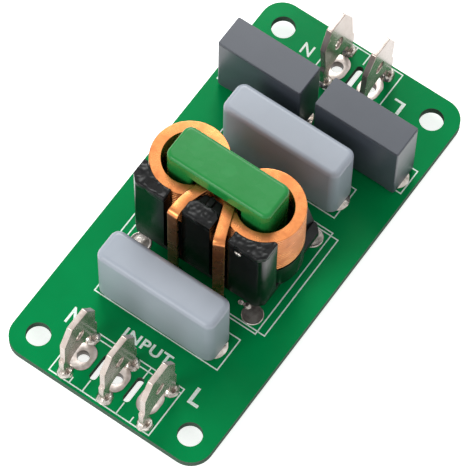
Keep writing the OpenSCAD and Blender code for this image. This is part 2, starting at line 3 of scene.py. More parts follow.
import bmesh
import bpy
from mathutils import Matrix, Vector, noise


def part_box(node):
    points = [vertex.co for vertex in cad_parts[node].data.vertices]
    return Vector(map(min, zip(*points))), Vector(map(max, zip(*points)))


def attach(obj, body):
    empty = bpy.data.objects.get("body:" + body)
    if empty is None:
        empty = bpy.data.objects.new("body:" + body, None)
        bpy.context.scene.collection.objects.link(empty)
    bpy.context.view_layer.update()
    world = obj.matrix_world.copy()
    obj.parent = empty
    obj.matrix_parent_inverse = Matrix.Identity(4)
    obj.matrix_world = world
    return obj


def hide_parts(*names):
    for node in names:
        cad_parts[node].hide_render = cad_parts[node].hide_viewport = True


# A mains EMI line filter: tabs, film capacitors and a flat-wire common-mode
# choke on a small green circuit board. Shapes are made in millimetres, in the
# frame of the CAD model, and turned to metres as each piece is finished.

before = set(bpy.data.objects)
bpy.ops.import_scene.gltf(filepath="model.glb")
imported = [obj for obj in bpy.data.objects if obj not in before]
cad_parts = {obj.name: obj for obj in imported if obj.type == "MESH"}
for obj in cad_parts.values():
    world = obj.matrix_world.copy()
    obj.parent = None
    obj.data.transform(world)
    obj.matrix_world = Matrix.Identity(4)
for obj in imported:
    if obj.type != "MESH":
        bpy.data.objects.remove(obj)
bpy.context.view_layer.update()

MM = 0.001


def node_box(name):
    """Lowest and highest corner of a CAD node, in millimetres."""
    low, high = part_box(name)
    return low / MM, high / MM


board_low, board_high = node_box("circuit_board")
BOARD_TOP = board_high.z
BOARD_BOTTOM = board_low.z

# ---------- Finishes ----------


def linear(hex_colour):
    """An sRGB hex colour as linear red, green, blue and alpha."""
    parts = [int(hex_colour[i:i + 2], 16) / 255 for i in (1, 3, 5)]
    return (*[c / 12.92 if c <= 0.04045 else ((c + 0.055) / 1.055) ** 2.4 for c in parts], 1)


def per_mm(size):
    """The pattern scale at which one feature is size millimetres wide."""
    return 1 / (size * MM)


def add_node(tree, kind, sockets=None, stops=None, **settings):
    """Adds a node with its settings; a socket takes a value or another node's output."""
    made = tree.nodes.new(kind)
    for name, value in settings.items():
        setattr(made, name, value)
    for key, value in (sockets or {}).items():
        if isinstance(value, bpy.types.NodeSocket):
            tree.links.new(value, made.inputs[key])
        else:
            made.inputs[key].default_value = value
    if stops:
        ramp = made.color_ramp.elements
        while len(ramp) < len(stops):
            ramp.new(0.5)
        for element, (position, colour) in zip(ramp, stops):
            element.position = position
            element.color = linear(colour) if isinstance(colour, str) else (*[colour] * 3, 1)
    return made


def new_finish(name, **constants):
    """A material, its node tree, its shader and its Object coordinates."""
    material = bpy.data.materials.new(name)
    material.use_nodes = True
    tree = material.node_tree
    shader = tree.nodes["Principled BSDF"]
    for socket, value in constants.items():
        shader.inputs[socket.replace("_", " ")].default_value = value
    return material, tree, shader, add_node(tree, "ShaderNodeTexCoord").outputs["Object"]


def drive(tree, shader, **outputs):
    """Links outputs of the pattern to the shader's sockets."""
    for socket, output in outputs.items():
        tree.links.new(output, shader.inputs[socket.replace("_", " ")])


def is_level(tree):
    """1 where the surface lies level and 0 where it stands upright."""
    normal = add_node(tree, "ShaderNodeNewGeometry").outputs["True Normal"]
    height = add_node(tree, "ShaderNodeSeparateXYZ", {"Vector": normal}).outputs["Z"]
    slope = add_node(tree, "ShaderNodeMath", {0: height}, operation="ABSOLUTE").outputs[0]
    return add_node(tree, "ShaderNodeMath", {0: slope, 1: 0.5},
                    operation="GREATER_THAN").outputs[0]


def solder_mask_on_laminate():
    # FR-4 laminate under a screen-printed and cured green mask: the faces are
    # glossy and slightly uneven in depth of colour, and the routed edges show
    # the pale glass cloth, ply on ply.
    material, tree, shader, place = new_finish(
        "solder_mask_on_laminate", Specular_IOR_Level=0.05)
    cloud = add_node(tree, "ShaderNodeTexNoise", {
        "Vector": place, "Scale": per_mm(9), "Detail": 3, "Roughness": 0.55})
    mask = add_node(tree, "ShaderNodeValToRGB", {"Fac": cloud.outputs["Fac"]},
                    stops=[(0.3, "#008345"), (0.7, "#008e4c")])
    plies = add_node(tree, "ShaderNodeTexWave", {
        "Vector": place, "Scale": per_mm(0.9), "Distortion": 1.5, "Detail": 3,
        "Detail Scale": 3}, wave_type="BANDS", bands_direction="Z")
    cloth = add_node(tree, "ShaderNodeValToRGB", {"Fac": plies.outputs["Fac"]},
                     stops=[(0.15, "#33493c"), (0.8, "#64786a")])
    on_face = is_level(tree)
    colour = add_node(tree, "ShaderNodeMix", {
        0: on_face, 6: cloth.outputs["Color"], 7: mask.outputs["Color"]}, data_type="RGBA")
    gloss = add_node(tree, "ShaderNodeMapRange", {
        "Value": on_face, "To Min": 0.75, "To Max": 0.2})
    weave = add_node(tree, "ShaderNodeTexNoise", {
        "Vector": place, "Scale": per_mm(0.8), "Detail": 2})
    bump = add_node(tree, "ShaderNodeBump", {
        "Height": weave.outputs["Fac"], "Strength": 0.25, "Distance": 0.02 * MM})
    drive(tree, shader, Base_Color=colour.outputs[2], Roughness=gloss.outputs["Result"],
          Normal=bump.outputs["Normal"])
    return material


def legend_ink():
    # White epoxy ink, screen printed: matt, a little thin where the screen's
    # threads were, so the green shows through in fine specks.
    material, tree, shader, place = new_finish("legend_ink", Specular_IOR_Level=0.3)
    thin = add_node(tree, "ShaderNodeTexNoise", {
        "Vector": place, "Scale": per_mm(0.22), "Detail": 2})
    ink = add_node(tree, "ShaderNodeValToRGB", {"Fac": thin.outputs["Fac"]},
                   stops=[(0.28, "#b9ecd2"), (0.5, "#f2fbf5")])
    rough = add_node(tree, "ShaderNodeMapRange", {
        "Value": thin.outputs["Fac"], "To Min": 0.45, "To Max": 0.7})
    drive(tree, shader, Base_Color=ink.outputs["Color"], Roughness=rough.outputs["Result"])
    return material


def tinned_brass():
    # Rolled and stamped brass strip, bright tin plated: a soft mirror with
    # rolling lines along the blade and warmer patches where the tin is thin.
    material, tree, shader, place = new_finish("tinned_brass", Metallic=0.7)
    along = add_node(tree, "ShaderNodeMapping", {"Vector": place, "Scale": (1, 1, 0.06)})
    lines = add_node(tree, "ShaderNodeTexNoise", {
        "Vector": along.outputs["Vector"], "Scale": per_mm(0.12), "Detail": 3})
    patch = add_node(tree, "ShaderNodeTexNoise", {
        "Vector": place, "Scale": per_mm(1.8), "Detail": 3, "Roughness": 0.6})
    colour = add_node(tree, "ShaderNodeValToRGB", {"Fac": patch.outputs["Fac"]},
                      stops=[(0.3, "#b5a69c"), (0.7, "#cdc2bb")])
    rough = add_node(tree, "ShaderNodeMapRange", {
        "Value": patch.outputs["Fac"], "To Min": 0.14, "To Max": 0.34})
    bump = add_node(tree, "ShaderNodeBump", {
        "Height": lines.outputs["Fac"], "Strength": 0.1, "Distance": 0.003 * MM})
    drive(tree, shader, Base_Color=colour.outputs["Color"], Roughness=rough.outputs["Result"],
          Normal=bump.outputs["Normal"])
    return material


def levelled_tin():
    # Solder levelled with hot air over the copper lands: satin and slightly
    # mottled. Its upright faces, the bore's wall and the land's rim, are coloured
    # darker as painted shade.
    material, tree, shader, place = new_finish("levelled_tin", Metallic=1.0)
    mottle = add_node(tree, "ShaderNodeTexNoise", {
        "Vector": place, "Scale": per_mm(0.8), "Detail": 3, "Roughness": 0.6})
    land = add_node(tree, "ShaderNodeValToRGB", {"Fac": mottle.outputs["Fac"]},
                    stops=[(0.3, "#a89d96"), (0.7, "#c9c1bb")])
    # Painted shade: the darker colour that the upright faces take, inside the bore and round the
    # land's rim.
    painted_shade_bore = add_node(tree, "ShaderNodeValToRGB", {"Fac": mottle.outputs["Fac"]},
                    stops=[(0.3, "#3f3833"), (0.7, "#6e655e")])
    colour = add_node(tree, "ShaderNodeMix", {
        0: is_level(tree), 6: painted_shade_bore.outputs["Color"], 7: land.outputs["Color"]}, data_type="RGBA")
    rough = add_node(tree, "ShaderNodeMapRange", {
        "Value": mottle.outputs["Fac"], "To Min": 0.3, "To Max": 0.45})
    bump = add_node(tree, "ShaderNodeBump", {
        "Height": mottle.outputs["Fac"], "Strength": 0.4, "Distance": 0.04 * MM})
    drive(tree, shader, Base_Color=colour.outputs[2], Roughness=rough.outputs["Result"],
          Normal=bump.outputs["Normal"])
    return material


def tin_lead_solder(name, metal):
    # Solder that froze bright: a wet mirror with small ripples, duller and
    # greyer where flux stayed on it.
    material, tree, shader, place = new_finish(name, Metallic=metal)
    ripple = add_node(tree, "ShaderNodeTexNoise", {
        "Vector": place, "Scale": per_mm(0.45), "Detail": 3, "Roughness": 0.5})
    flux = add_node(tree, "ShaderNodeTexNoise", {
        "Vector": place, "Scale": per_mm(1.1), "Detail": 4})
    colour = add_node(tree, "ShaderNodeValToRGB", {"Fac": flux.outputs["Fac"]},
                      stops=[(0.32, "#9b938b"), (0.6, "#ddd6cf")])
    rough = add_node(tree, "ShaderNodeMapRange", {
        "Value": flux.outputs["Fac"], "To Min": 0.3, "To Max": 0.12})
    bump = add_node(tree, "ShaderNodeBump", {
        "Height": ripple.outputs["Fac"], "Strength": 0.6, "Distance": 0.05 * MM})
    drive(tree, shader, Base_Color=colour.outputs["Color"], Roughness=rough.outputs["Result"],
          Normal=bump.outputs["Normal"])
    return material


def moulded_case(name, light, dark, low_gloss, high_gloss):
    # Injection-moulded, flame-retardant PBT: an even colour with a spark-eroded
    # texture too fine to see as grain, which spreads the highlights.
    material, tree, shader, place = new_finish(name, Specular_IOR_Level=0.42)
    flow = add_node(tree, "ShaderNodeTexNoise", {
        "Vector": place, "Scale": per_mm(5), "Detail": 3})
    colour = add_node(tree, "ShaderNodeValToRGB", {"Fac": flow.outputs["Fac"]},
                      stops=[(0.3, dark), (0.7, light)])
    grain = add_node(tree, "ShaderNodeTexNoise", {
        "Vector": place, "Scale": per_mm(0.16), "Detail": 2})
    rough = add_node(tree, "ShaderNodeMapRange", {
        "Value": flow.outputs["Fac"], "To Min": low_gloss, "To Max": high_gloss})
    bump = add_node(tree, "ShaderNodeBump", {
        "Height": grain.outputs["Fac"], "Strength": 0.22, "Distance": 0.01 * MM})
    drive(tree, shader, Base_Color=colour.outputs["Color"], Roughness=rough.outputs["Result"],
          Normal=bump.outputs["Normal"])
    return material


def potting_resin():
    # Filled epoxy poured into the case from below: dull grey-black, with a
    # slightly sunken skin and a few pinholes where bubbles broke.
    material, tree, shader, place = new_finish("potting_resin", Specular_IOR_Level=0.4)
    skin = add_node(tree, "ShaderNodeTexNoise", {
        "Vector": place, "Scale": per_mm(2.2), "Detail": 4})
    pinhole = add_node(tree, "ShaderNodeTexVoronoi", {"Vector": place, "Scale": per_mm(1.4)})
    colour = add_node(tree, "ShaderNodeValToRGB", {"Fac": skin.outputs["Fac"]},
                      stops=[(0.3, "#2b2d31"), (0.7, "#43464c")])
    pit = add_node(tree, "ShaderNodeMapRange", {
        "Value": pinhole.outputs["Distance"], "From Max": 0.16})
    rough = add_node(tree, "ShaderNodeMapRange", {
        "Value": skin.outputs["Fac"], "To Min": 0.3, "To Max": 0.6})
    bump = add_node(tree, "ShaderNodeBump", {
        "Height": pit.outputs["Result"], "Strength": 0.5, "Distance": 0.08 * MM})
    drive(tree, shader, Base_Color=colour.outputs["Color"], Roughness=rough.outputs["Result"],
          Normal=bump.outputs["Normal"])
    return material


def wound_film():
    # Metallised polypropylene film, wound flat: fine silvery layers edge on,
    # under the buff zinc sprayed on the winding's ends.
    material, tree, shader, place = new_finish("wound_film", Metallic=0.6)
    layers = add_node(tree, "ShaderNodeTexWave", {
        "Vector": place, "Scale": per_mm(1.2), "Distortion": 0.6, "Detail": 2},
        wave_type="BANDS", bands_direction="Y")
    colour = add_node(tree, "ShaderNodeValToRGB", {"Fac": layers.outputs["Fac"]},
                      stops=[(0.2, "#a8a28b"), (0.8, "#cfcab6")])
    rough = add_node(tree, "ShaderNodeMapRange", {
        "Value": layers.outputs["Fac"], "To Min": 0.35, "To Max": 0.55})
    drive(tree, shader, Base_Color=colour.outputs["Color"], Roughness=rough.outputs["Result"])
    return material


def epoxy_coated_ferrite():
    # Ferrite ring under a fluidised-bed epoxy coat: thick satin green with the
    # orange peel of powder that flowed, a little paler on the raised edges.
    material, tree, shader, place = new_finish(
        "epoxy_coated_ferrite", Specular_IOR_Level=0.3)
    peel = add_node(tree, "ShaderNodeTexNoise", {
        "Vector": place, "Scale": per_mm(0.7), "Detail": 2, "Roughness": 0.4})
    cloud = add_node(tree, "ShaderNodeTexNoise", {
        "Vector": place, "Scale": per_mm(3.5), "Detail": 2})
    colour = add_node(tree, "ShaderNodeValToRGB", {"Fac": cloud.outputs["Fac"]},
                      stops=[(0.3, "#1a8338"), (0.7, "#218b41")])
    rough = add_node(tree, "ShaderNodeMapRange", {
        "Value": cloud.outputs["Fac"], "To Min": 0.22, "To Max": 0.32})
    bump = add_node(tree, "ShaderNodeBump", {
        "Height": peel.outputs["Fac"], "Strength": 0.3, "Distance": 0.04 * MM})
    drive(tree, shader, Base_Color=colour.outputs["Color"], Roughness=rough.outputs["Result"],
          Normal=bump.outputs["Normal"])
    return material


def enamelled_copper():
    # Flat copper wire under clear polyamide-imide enamel: warm orange metal
    # with drawing lines along it and darker rub marks between the turns.
    material, tree, shader, place = new_finish(
        "enamelled_copper", Metallic=1.0, Coat_Weight=0.3, Coat_Roughness=0.12)
    rub = add_node(tree, "ShaderNodeTexNoise", {
        "Vector": place, "Scale": per_mm(1.6), "Detail": 4, "Roughness": 0.6})
    colour = add_node(tree, "ShaderNodeValToRGB", {"Fac": rub.outputs["Fac"]},
                      stops=[(0.25, "#a86036"), (0.5, "#c87d48"), (0.75, "#da9156")])
    drawn = add_node(tree, "ShaderNodeTexNoise", {
        "Vector": place, "Scale": per_mm(0.18), "Detail": 2})
    rough = add_node(tree, "ShaderNodeMapRange", {
        "Value": rub.outputs["Fac"], "To Min": 0.36, "To Max": 0.2})
    bump = add_node(tree, "ShaderNodeBump", {
        "Height": drawn.outputs["Fac"], "Strength": 0.2, "Distance": 0.01 * MM})
    drive(tree, shader, Base_Color=colour.outputs["Color"], Roughness=rough.outputs["Result"],
          Normal=bump.outputs["Normal"])
    return material


def moulded_phenolic(name, light, gloss, peel_size, depth):
    # Black phenolic moulding, and the black epoxy that holds the coils to it:
    # near-black gloss with sink marks, rougher where the glue froze unevenly.
    material, tree, shader, place = new_finish(name, Specular_IOR_Level=0.22)
    sink = add_node(tree, "ShaderNodeTexNoise", {
        "Vector": place, "Scale": per_mm(peel_size), "Detail": 3, "Roughness": 0.5})
    colour = add_node(tree, "ShaderNodeValToRGB", {"Fac": sink.outputs["Fac"]},
                      stops=[(0.3, "#020303"), (0.75, light)])
    rough = add_node(tree, "ShaderNodeMapRange", {
        "Value": sink.outputs["Fac"], "To Min": gloss, "To Max": gloss + 0.22})
    bump = add_node(tree, "ShaderNodeBump", {
        "Height": sink.outputs["Fac"], "Strength": 0.5, "Distance": depth * MM})
    drive(tree, shader, Base_Color=colour.outputs["Color"], Roughness=rough.outputs["Result"],
          Normal=bump.outputs["Normal"])
    return material


BOARD = solder_mask_on_laminate()
INK = legend_ink()
TIN = tinned_brass()
LAND = levelled_tin()
SOLDER = tin_lead_solder("tin_lead_solder", 1.0)
FLUXED = tin_lead_solder("solder_under_flux", 0.68)
LIGHT_CASE = moulded_case("light_grey_pbt", "#a8b0bb", "#a2aab5", 0.28, 0.36)
DARK_CASE = moulded_case("dark_grey_pbt", "#4b5059", "#464b54", 0.28, 0.38)
RESIN = potting_resin()
FILM = wound_film()
FERRITE = epoxy_coated_ferrite()
COPPER = enamelled_copper()
PHENOLIC = moulded_phenolic("moulded_phenolic", "#08090a", 0.1, 2.2, 0.03)
GLUE = moulded_phenolic("set_epoxy_glue", "#0d0e10", 0.24, 0.9, 0.035)

# ---------- Making pieces ----------


def make_piece(name, bm, finish, replaced=(), crease=32, even=True):
    """Turns a bmesh in millimetres into a piece of the filter."""
    bmesh.ops.remove_doubles(bm, verts=bm.verts, dist=0.0005)
    bmesh.ops.recalc_face_normals(bm, faces=bm.faces)
    bmesh.ops.scale(bm, vec=(MM, MM, MM), verts=bm.verts)
    mesh = bpy.data.meshes.new(name)
    bm.to_mesh(mesh)
    bm.free()
    mesh.materials.append(finish)
    mesh.polygons.foreach_set("use_smooth", [True] * len(mesh.polygons))
    mesh.set_sharp_from_angle(angle=math.radians(crease))
    piece = bpy.data.objects.new(name, mesh)
    bpy.context.scene.collection.objects.link(piece)
    if even:
        piece.modifiers.new("even_shading", "WEIGHTED_NORMAL").keep_sharp = True
    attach(piece, "root")
    if replaced:
        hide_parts(*replaced)
    return piece


def keep_node(name, finish):
    """A CAD node whose shape is right keeps it and takes a finish."""
    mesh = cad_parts[name].data
    mesh.materials.clear()
    mesh.materials.append(finish)


def node_copy(name):
    """A merged copy of a CAD node in millimetres, with its flat faces whole again."""
    bm = bmesh.new()
    bm.from_mesh(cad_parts[name].data)
    bmesh.ops.scale(bm, vec=(1 / MM,) * 3, verts=bm.verts)
    bmesh.ops.remove_doubles(bm, verts=bm.verts, dist=0.002)
    bmesh.ops.dissolve_limit(bm, angle_limit=math.radians(1), verts=bm.verts, edges=bm.edges)
    return bm


def block(bm, low, high):
    """Adds a box between two corners and returns its vertices."""
    size = [h - l for l, h in zip(low, high)]
    middle = [(h + l) / 2 for l, h in zip(low, high)]
    verts = bmesh.ops.create_cube(bm, size=1)["verts"]
    bmesh.ops.scale(bm, vec=size, verts=verts)
    bmesh.ops.translate(bm, vec=middle, verts=verts)
    return verts


def sharp_edges(bm, degrees):
    """Edges whose two faces meet at more than this angle."""
    limit = math.radians(degrees)
    return [e for e in bm.edges if len(e.link_faces) == 2 and e.calc_face_angle(0) > limit]


def soften(bm, edges, radius, segments):
    """Rounds edges with the small radius of a mould, a die or a drop."""
    bmesh.ops.bevel(bm, geom=edges, offset=radius, segments=segments, profile=0.5,
                    affect="EDGES", clamp_overlap=True, material=-1)


def is_upright(edge):
    """True for an edge that runs along Z."""
    a, b = edge.verts
    return abs(a.co.x - b.co.x) < 1e-4 and abs(a.co.y - b.co.y) < 1e-4


# ---------- Board, legend and wire pads ----------

# Printed line's width, and how far the ink stands out of the mask and sinks in it
LINE = 0.17
INK_HALF = 0.02
INK_TOP = BOARD_TOP + INK_HALF
INK_BOTTOM = BOARD_TOP - INK_HALF
# Frames as x0, y0, x1, y1: the two blocks of tabs, and the place of each component
INPUT_BLOCK = (-7.71, -29.64, 7.56, -21.99)
INPUT_BACK_LINE = -22.82
OUTPUT_BLOCK = (-5.04, 22.05, 5.04, 29.72)
OUTPUT_BACK_LINE = 22.75
COMPONENT_FRAMES = (
    (-9.45, -17.72, 9.36, -12.6), (-9.45, 7.74, 9.36, 12.78),
    (-14.25, 15.42, -2.2, 19.4), (1.2, 15.42, 14.25, 19.4),
    (-10.56, -11.04, 10.41, 6.06))
# The larger choke's frame crosses the small one's, so its ink lies a little higher
LARGE_CHOKE_FRAME = (-11.55, -10.6, 11.49, 5.62)
CROSSING_RISE = 0.004


def bar(bm, x0, y0, x1, y1, rise=0.0):
    """A printed bar between two corners."""
    block(bm, (x0, y0, INK_BOTTOM), (x1, y1, INK_TOP + rise))


def outline(bm, x0, y0, x1, y1, rise=0.0):
    """Four bars that meet end to side, so no two faces lie in each other."""
    bar(bm, x0, y0, x1, y0 + LINE, rise)
    bar(bm, x0, y1 - LINE, x1, y1, rise)
    bar(bm, x0, y0 + LINE, x0 + LINE, y1 - LINE, rise)
    bar(bm, x1 - LINE, y0 + LINE, x1, y1 - LINE, rise)


def upright_bar(bm, x, y0, y1):
    """A printed line along the board, centred on x."""
    bar(bm, x - LINE / 2, y0, x + LINE / 2, y1)


def board_legend():
    """The printed frames: tab blocks with a double line behind the tabs, and components."""
    bm = bmesh.new()
    left, front, right, back = INPUT_BLOCK
    outline(bm, *INPUT_BLOCK)
    bar(bm, left + LINE, INPUT_BACK_LINE, right - LINE, INPUT_BACK_LINE + LINE)
    for x in (-2.58, 2.52):
        upright_bar(bm, x, front + LINE, -27.75)
        upright_bar(bm, x, -23.85, INPUT_BACK_LINE)
        upright_bar(bm, x, INPUT_BACK_LINE + LINE, back - LINE)
    for x in (-4.59, 4.56):
        upright_bar(bm, x, front + LINE, -28.65)
    left, front, right, back = OUTPUT_BLOCK
    outline(bm, *OUTPUT_BLOCK)
    bar(bm, left + LINE, OUTPUT_BACK_LINE, right - LINE, OUTPUT_BACK_LINE + LINE)
    for x, y in ((-0.06, 27.9), (-1.98, 28.8)):
        upright_bar(bm, x, y, back - LINE)
    for corners in COMPONENT_FRAMES:
        outline(bm, *corners)
    outline(bm, *LARGE_CHOKE_FRAME, CROSSING_RISE)
    return make_piece("board_legend", bm, INK, even=False)


def legend_word(name, word, centre, width, height, stroke, turn=0.0, spacing=1.0):
    """A word in the plain built-in type, fitted to its size on the board."""
    curve = bpy.data.curves.new(name, "FONT")
    curve.body = word
    curve.extrude = 0.5
    curve.offset = stroke
    curve.space_character = spacing
    text = bpy.data.objects.new(name + "_type", curve)
    bpy.context.scene.collection.objects.link(text)
    bpy.context.view_layer.update()
    flat = bpy.data.meshes.new_from_object(
        text.evaluated_get(bpy.context.evaluated_depsgraph_get()))
    bpy.data.objects.remove(text)
    bm = bmesh.new()
    bm.from_mesh(flat)
    bpy.data.meshes.remove(flat)
    xs = [v.co.x for v in bm.verts]
    ys = [v.co.y for v in bm.verts]
    middle = Vector(((min(xs) + max(xs)) / 2, (min(ys) + max(ys)) / 2, 0))
    bmesh.ops.translate(bm, vec=-middle, verts=bm.verts)
    bmesh.ops.scale(bm, verts=bm.verts, vec=(
        width / (max(xs) - min(xs)), height / (max(ys) - min(ys)), INK_TOP - INK_BOTTOM))
    bmesh.ops.rotate(bm, verts=bm.verts, matrix=Matrix.Rotation(turn, 3, "Z"))
    bmesh.ops.translate(bm, verts=bm.verts, vec=(*centre, (INK_TOP + INK_BOTTOM) / 2))
    return make_piece(name, bm, INK, even=False)


# A wire pad's land, bore and thickness, and where the two rows of pads are
PAD_LENGTH = 3.9
PAD_WIDTH = 3.0
PAD_BORE = 1.6
PAD_T = 0.08
WIRE_PITCH = 5.08
PAD_Y = 25.7
INPUT_PADS_X = -0.12


def wire_pads(name, places):
    """Oval tinned lands on both faces, crowned at the rim, joined by the bore's plating."""
    bm = bmesh.new()
    for x, y in places:
        for side in (1, -1):
            face = BOARD_TOP if side > 0 else BOARD_BOTTOM
            rim = bmesh.ops.create_circle(bm, segments=64, radius=PAD_WIDTH / 2)["verts"]
            for v in rim:
                if abs(v.co.y) > 1e-5:
                    v.co.y += math.copysign((PAD_LENGTH - PAD_WIDTH) / 2, v.co.y)
            hole = bmesh.ops.create_circle(bm, segments=64, radius=PAD_BORE / 2)["verts"]
            ring = [e for e in bm.edges if e.verts[0] in rim + hole]
            top = bmesh.ops.bridge_loops(bm, edges=ring)["faces"]
            bmesh.ops.translate(bm, vec=(x, y, face + side * PAD_T), verts=rim + hole)
            outer = [e for e in bm.edges if e.verts[0] in rim and e.verts[1] in rim]
            skirt = bmesh.ops.extrude_edge_only(bm, edges=outer)["geom"]
            bmesh.ops.translate(bm, vec=(0, 0, -side * PAD_T * 1.6),
                                verts=[g for g in skirt if isinstance(g, bmesh.types.BMVert)])
            inner = [e for e in bm.edges if e.verts[0] in hole and e.verts[1] in hole]
            wall = bmesh.ops.extrude_edge_only(bm, edges=inner)["geom"]
            for g in wall:
                if isinstance(g, bmesh.types.BMVert):
                    g.co.z = (BOARD_TOP + BOARD_BOTTOM) / 2
            edge = [e for e in bm.edges if len(e.link_faces) == 2
                    and any(f in top for f in e.link_faces)
                    and not all(f in top for f in e.link_faces)]
            soften(bm, edge, PAD_T * 0.75, 3)
    return make_piece(name, bm, LAND, (name,))


# ---------- Tabs and their joints ----------

# Height above the board from which a blade is drawn out, the radius of its coined edge,
# and the distance between its legs
TAB_HINGE = 4.2
TAB_COIN_R = 0.18
TAB_LEG_PITCH = 5.5


def quick_connect_tab(name, lean):
    """The stamped blade with its coined edges, its upper half drawn out to where its tip is."""
    bm = node_copy(name)
    soften(bm, sharp_edges(bm, 20), TAB_COIN_R, 3)
    top = max(v.co.z for v in bm.verts)
    hinge = BOARD_TOP + TAB_HINGE
    for v in bm.verts:
        if v.co.z > hinge:
            v.co += Vector(lean) * (v.co.z - hinge) / (top - hinge)
    return make_piece(name.replace("_tab_", "_blade_"), bm, TIN, (name,))


# Half widths of the pit in a dome, along X and Y, and the depth of a cone
PIT_SIZE = (0.16, 0.42)
CONE_H = 1.1


def solder_dome(bm, place, radius, height, pit, seed):
    """A frozen drop on a pad: fuller on one side, with a pit where flux boiled out."""
    verts = bmesh.ops.create_uvsphere(bm, u_segments=36, v_segments=24, radius=1)["verts"]
    bmesh.ops.rotate(bm, verts=verts, matrix=Matrix.Rotation(seed, 3, "Z"))
    for v in verts:
        spot = v.co * 1.3 + Vector((seed * 3.1, seed * 1.7, seed))
        swell = 1 + 0.12 * noise.noise(spot) + 0.04 * noise.noise(spot * 3)
        flare = 1 + 0.12 * max(0, 1 - abs(v.co.z) * 3)
        v.co.x *= radius * swell * flare
        v.co.y *= radius * swell * flare
        v.co.z *= height * (swell if v.co.z > 0 else 0.12)
        if pit and v.co.z > 0:
            dent = math.exp(-((v.co.x - pit[0]) / PIT_SIZE[0]) ** 2
                            - ((v.co.y - pit[1]) / PIT_SIZE[1]) ** 2)
            v.co.z -= min(v.co.z, height * 0.75 * dent)
    bmesh.ops.translate(bm, vec=(*place, BOARD_TOP), verts=verts)


def turned(bm, shape, steps=32):
    """Spins a line of (radius, height) about the Z axis and returns its vertices."""
    before = set(bm.verts)
    line = [bm.verts.new((r, 0, z)) for r, z in shape]
    edges = [bm.edges.new(pair) for pair in zip(line, line[1:])]
    bmesh.ops.spin(bm, geom=line + edges, cent=(0, 0, 0), axis=(0, 0, 1), angle=math.tau,
                   steps=steps, use_merge=True, use_duplicate=False)
    return [v for v in bm.verts if v not in before]


def solder_cone(bm, place, radius, tip, seed):
    """The hollow-sided cone that wets a lead under the board."""
    verts = turned(bm, [
        (radius, 0), (radius * 0.98, -0.06), (radius * 0.72, -0.2 * CONE_H),
        (radius * 0.5, -0.45 * CONE_H), (tip + 0.12, -0.78 * CONE_H), (tip, -CONE_H),
        (0, -CONE_H)])
    for v in verts:
        wobble = 1 + 0.08 * noise.noise(v.co * 1.5 + Vector((seed, seed * 2, 0)))
        v.co.x *= wobble
        v.co.y *= wobble
    bmesh.ops.translate(bm, vec=(*place, BOARD_BOTTOM), verts=verts)


def solder_joints(name, places, radius, height, cone, tip, pit=None):
    """A dome on the board and a cone under it at each place, no two the same."""
    bm = bmesh.new()
    for i, place in enumerate(places):
        seed = 0.37 + 1.93 * i + len(name)
        solder_dome(bm, place, radius, height, pit, seed)
        solder_cone(bm, place, cone, tip, seed)
    return make_piece(name + "_wetted", bm, SOLDER, (name,), crease=60, even=False)


# ---------- Capacitors ----------

FOOT_H = 0.45
CASE_WALL = 0.6
# A radius up to this size is a plain mould edge and takes only three facets
SMALL_R = 0.5
# A foot's step back from the wall's face, and its own small radius
FOOT_STEP = 0.08
FOOT_R = 0.1
# Heights down the groove under a case's lip, and its depth
GROOVE = (0, 0.03, 0.13, 0.16)
GROOVE_DEPTH = 0.1


def capacitor_case(name, finish, upright_r, top_r, lip):
    """A box moulding, open below, on four small feet."""
    low, high = node_box(name)
    bm = bmesh.new()
    rim = low.z + FOOT_H
    block(bm, (low.x, low.y, rim), high)
    soften(bm, [e for e in bm.edges if is_upright(e)], upright_r, 8 if upright_r > SMALL_R else 3)
    soften(bm, [e for e in bm.edges if all(v.co.z > high.z - 0.01 for v in e.verts)],
           top_r, 6 if top_r > SMALL_R else 3)
    if lip:
        groove = [high.z - lip - drop for drop in GROOVE]
        for z in groove:
            bmesh.ops.bisect_plane(bm, geom=bm.verts[:] + bm.edges[:] + bm.faces[:],
                                   plane_co=(0, 0, z), plane_no=(0, 0, 1))
        middle = (low + high) / 2
        for v in bm.verts:
            if groove[3] + 0.01 < v.co.z < groove[0] - 0.01:
                v.co.x -= math.copysign(GROOVE_DEPTH, v.co.x - middle.x)
                v.co.y -= math.copysign(GROOVE_DEPTH, v.co.y - middle.y)
    bottom = [f for f in bm.faces if f.normal.z < -0.9 and f.calc_center_median().z < rim + 0.01]
    bmesh.ops.inset_region(bm, faces=bottom, thickness=CASE_WALL, use_even_offset=True)
    cavity = bmesh.ops.extrude_face_region(bm, geom=bottom)["geom"]
    bmesh.ops.delete(bm, geom=bottom, context="FACES_ONLY")
    bmesh.ops.translate(bm, vec=(0, 0, high.z - rim - CASE_WALL),
                        verts=[g for g in cavity if isinstance(g, bmesh.types.BMVert)])
    for sx in (0, 1):
        for sy in (0, 1):
            x = low.x + upright_r if sx == 0 else high.x - upright_r - 2 * CASE_WALL
            y = low.y if sy == 0 else high.y - CASE_WALL
            foot = block(bm, (x, y + FOOT_STEP * (1 - sy), low.z),
                         (x + 2 * CASE_WALL, y + CASE_WALL - FOOT_STEP * sy, rim + 0.2))
            soften(bm, [e for e in bm.edges if e.verts[0] in foot and e.verts[1] in foot],
                   FOOT_R, 2)
    return make_piece(name + "_moulding", bm, finish, (name,), crease=30)


# ---------- Choke ----------

CORE_LOW, CORE_HIGH = node_box("choke_core")
CHOKE = Vector(((CORE_LOW.x + CORE_HIGH.x) / 2, (CORE_LOW.y + CORE_HIGH.y) / 2, BOARD_TOP))
# The core's leg and yoke, and the radii of its outer upright corners and other edges
LEG_W = 4.1
YOKE_H = 2.5
CORE_UPRIGHT_R = 1.1
CORE_EDGE_R = 0.55
# The flat wire, its rounded corner, and how much thinner it is drawn to part the turns
WIRE_W = 1.5
WIRE_T = 0.42
WIRE_R = 0.1
WIRE_RELIEF = 0.02
COIL_X = (CORE_HIGH.x - CORE_LOW.x - LEG_W) / 2
# Free height under a coil, its turns and their rise, and the degrees that each end adds
COIL_HEAD = 1.5
TURNS = 16
TURN_PITCH = 0.5
RUN_OFF = 24
